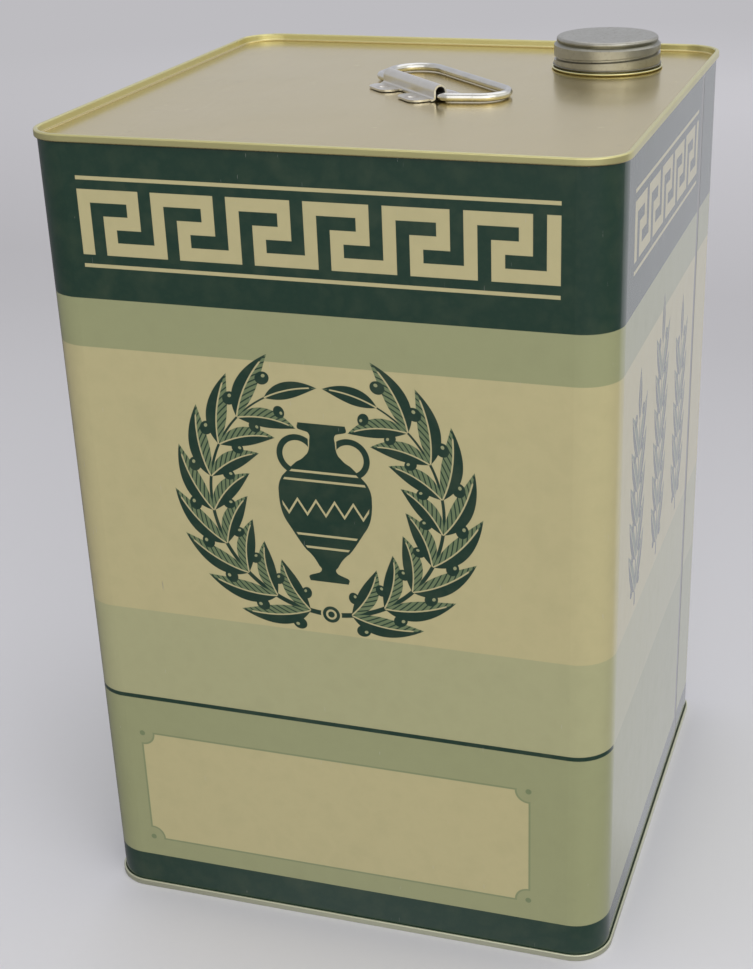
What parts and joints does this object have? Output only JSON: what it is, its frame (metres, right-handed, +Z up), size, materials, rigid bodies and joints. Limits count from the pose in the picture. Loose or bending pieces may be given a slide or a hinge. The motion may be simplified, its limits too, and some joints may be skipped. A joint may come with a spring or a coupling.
{
  "type": "square oil tin with spout",
  "caption": "Tall square tinplate oil tin with double-seamed ends, a screw-capped spout in the back corner and a hinged wire handle.",
  "frame": {"origin": "middle of the base, on the surface that the bottom seam stands on", "axes": "+Z up, +X to the right seen from the front, the front face looks along -Y"},
  "size_m": [0.2374, 0.2374, 0.3637],
  "materials": {
    "printed_tinplate": "glossy print on tinplate",
    "gold_lacquer": "gold lacquer on tinplate",
    "tinned_steel": "tinned, satin",
    "bright_wire": "bright zinc-plated wire",
    "seam_compound": "matte",
    "gasket_rubber": "matte",
    "liner_board": "soft foam liner"
  },
  "bodies": {
    "can": {"body_shell": "printed_tinplate", "top_end": "gold_lacquer", "bottom_end": "gold_lacquer", "top_seam_compound": "seam_compound", "bottom_seam_compound": "seam_compound", "neck": "gold_lacquer", "neck_gasket": "gasket_rubber", "handle_saddle": "tinned_steel"},
    "cap_carrier": {"cap_liner": "liner_board"},
    "cap": {"cap": "tinned_steel"},
    "bail": {"handle_bail": "bright_wire"}
  },
  "joints": [
    {"name": "cap_lift", "type": "slide", "parent": "can", "child": "cap_carrier", "axis": [0, 0, 1], "range_m": [0, 0.00355]},
    {"name": "cap_turn", "type": "hinge", "parent": "cap_carrier", "child": "cap", "pos_m": [0.0726, 0.0726, 0.35125], "axis": [0, 0, 1], "range_deg": [0, 210]},
    {"name": "bail_swing", "type": "hinge", "parent": "can", "child": "bail", "pos_m": [0.00424, 0.00071, 0.35175], "axis": [0.7071, -0.7071, 0], "range_deg": [0, 180]}
  ],
  "couplings": [
    {"joint": "cap_lift", "follows": "cap_turn", "m_per_rad": 0.00095493}
  ]
}
